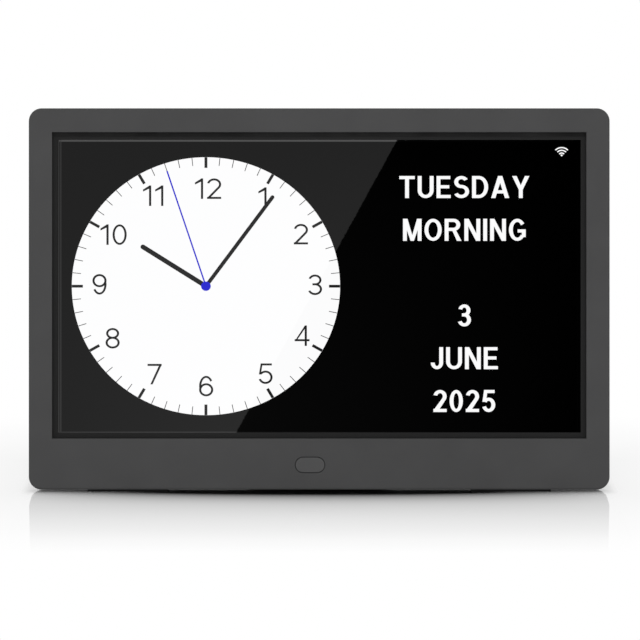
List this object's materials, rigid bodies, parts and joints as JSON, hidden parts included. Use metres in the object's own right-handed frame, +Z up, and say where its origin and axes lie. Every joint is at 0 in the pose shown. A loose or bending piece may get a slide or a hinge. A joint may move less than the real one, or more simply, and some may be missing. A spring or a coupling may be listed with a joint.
{
  "type": "digital day clock",
  "caption": "Dark grey screen clock with an analogue dial on the left of the picture, a slim frame, one front button, rear function keys, speakers and a fold-out foot.",
  "frame": {"origin": "middle of the clock's footprint on the table, foot folded out", "axes": "+X to the right as seen from the front, +Y from the front face backwards, +Z up"},
  "size_m": [0.2474, 0.0838, 0.1623],
  "materials": {
    "case_plastic": "satin, fine grain",
    "button_plastic": "satin",
    "cover_plastic": "fine texture",
    "key_plastic": "satin",
    "switch_black": "matte",
    "rubber": "matte",
    "foam": "open cell",
    "steel": "plated",
    "screen_frame": "matte black",
    "screen_film": "glossy",
    "screen_glass": "clear",
    "light_guide": "diffusing",
    "circuit_board": "solder mask",
    "flex_film": "film",
    "speaker_paper": "pressed",
    "lead_red": "insulation",
    "lead_white": "insulation",
    "picture_white": "lit",
    "picture_ink": "unlit part of the picture",
    "picture_blue": "lit"
  },
  "bodies": {
    "case": {"front_bezel": "case_plastic", "rear_cover": "cover_plastic", "board_chips": "switch_black", "dc_jack": "switch_black", "audio_jack": "switch_black", "coin_cell_holder": "switch_black", "speaker_left": "switch_black", "speaker_right": "switch_black", "bottom_feet": "rubber", "lcd_gasket": "foam", "lcd_pads": "foam", "speaker_gaskets": "foam", "case_screws": "steel", "board_screws": "steel", "key_board_screws": "steel", "stand_pin": "steel", "front_switch": "steel", "key_switches": "steel", "usb_port": "steel", "card_slot": "steel", "coin_cell": "steel", "lcd_tray": "steel", "lcd_frame": "screen_frame", "lcd_polarizer": "screen_film", "lcd_cell": "screen_glass", "lcd_light_guide": "light_guide", "main_board": "circuit_board", "key_board": "circuit_board", "front_key_board": "circuit_board", "lcd_driver_board": "circuit_board", "lcd_ribbon": "flex_film", "wifi_antenna": "flex_film", "speaker_cones": "speaker_paper", "speaker_leads": "lead_red", "front_key_lead": "lead_white", "key_lead": "lead_white", "screen_dial": "picture_white", "screen_marks": "picture_ink", "screen_second_hand": "picture_blue"},
    "front_key": {"front_button": "button_plastic", "front_switch_stem": "switch_black"},
    "stand": {"stand_leg": "cover_plastic", "stand_pad": "rubber"},
    "key_power": {"key_power": "key_plastic", "stem_power": "switch_black"},
    "key_menu": {"key_menu": "key_plastic", "stem_menu": "switch_black"},
    "key_up": {"key_up": "key_plastic", "stem_up": "switch_black"},
    "key_down": {"key_down": "key_plastic", "stem_down": "switch_black"},
    "key_left": {"key_left": "key_plastic", "stem_left": "switch_black"},
    "key_right": {"key_right": "key_plastic", "stem_right": "switch_black"},
    "key_exit": {"key_exit": "key_plastic", "stem_exit": "switch_black"}
  },
  "joints": [
    {"name": "stand_fold", "type": "hinge", "parent": "case", "child": "stand", "pos_m": [0, -0.01955, 0.01291], "axis": [1, 0, 0], "range_deg": [0, 92.68]},
    {"name": "front_key_press", "type": "slide", "parent": "case", "child": "front_key", "axis": [0, 0.9925, -0.1219], "range_m": [0, 0.0003], "stiffness_N_per_m": 3000},
    {"name": "key_power_press", "type": "slide", "parent": "case", "child": "key_power", "axis": [0, -0.9925, 0.1219], "range_m": [0, 0.0003], "stiffness_N_per_m": 3000},
    {"name": "key_menu_press", "type": "slide", "parent": "case", "child": "key_menu", "axis": [0, -0.9925, 0.1219], "range_m": [0, 0.0003], "stiffness_N_per_m": 3000},
    {"name": "key_up_press", "type": "slide", "parent": "case", "child": "key_up", "axis": [0, -0.9925, 0.1219], "range_m": [0, 0.0003], "stiffness_N_per_m": 3000},
    {"name": "key_down_press", "type": "slide", "parent": "case", "child": "key_down", "axis": [0, -0.9925, 0.1219], "range_m": [0, 0.0003], "stiffness_N_per_m": 3000},
    {"name": "key_left_press", "type": "slide", "parent": "case", "child": "key_left", "axis": [0, -0.9925, 0.1219], "range_m": [0, 0.0003], "stiffness_N_per_m": 3000},
    {"name": "key_right_press", "type": "slide", "parent": "case", "child": "key_right", "axis": [0, -0.9925, 0.1219], "range_m": [0, 0.0003], "stiffness_N_per_m": 3000},
    {"name": "key_exit_press", "type": "slide", "parent": "case", "child": "key_exit", "axis": [0, -0.9925, 0.1219], "range_m": [0, 0.0003], "stiffness_N_per_m": 3000}
  ]
}
